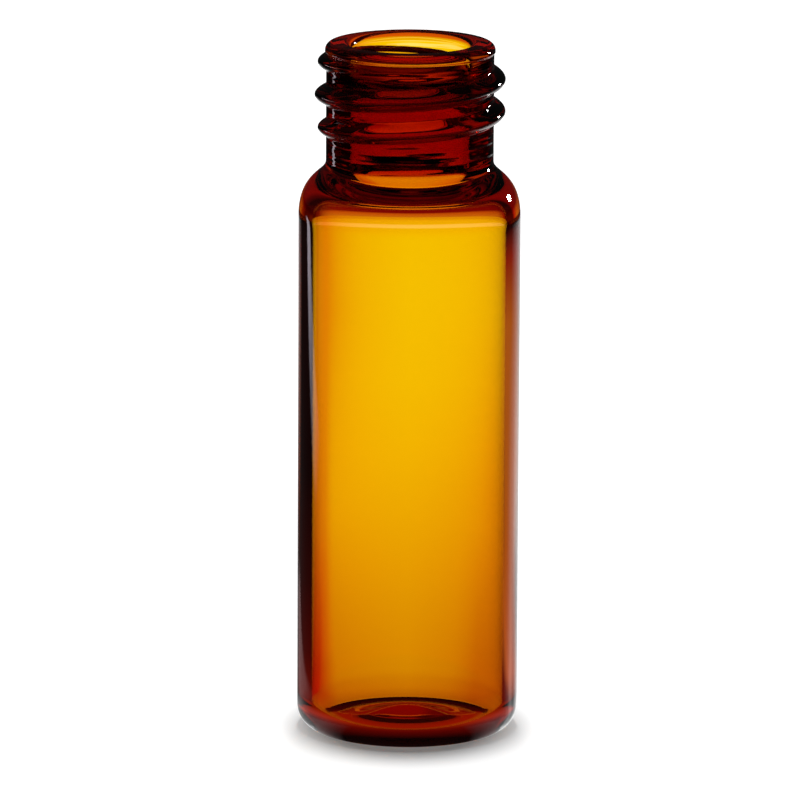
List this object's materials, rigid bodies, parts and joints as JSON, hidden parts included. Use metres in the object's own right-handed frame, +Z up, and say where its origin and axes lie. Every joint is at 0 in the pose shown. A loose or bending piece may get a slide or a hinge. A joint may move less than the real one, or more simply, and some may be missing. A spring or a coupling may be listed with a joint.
{
  "type": "glass sample vial",
  "caption": "Amber glass sample vial with a round body, a formed shoulder and an open screw-thread neck, without a cap.",
  "frame": {"origin": "centre of the base, on the plane of the standing ring", "axes": "+Z up along the vial's axis, out through the mouth"},
  "size_m": [0.0146, 0.0146, 0.046],
  "materials": {
    "amber_glass": "clear amber glass, smooth and fire-polished"
  },
  "bodies": {
    "root": {"vial": "amber_glass"}
  },
  "joints": []
}
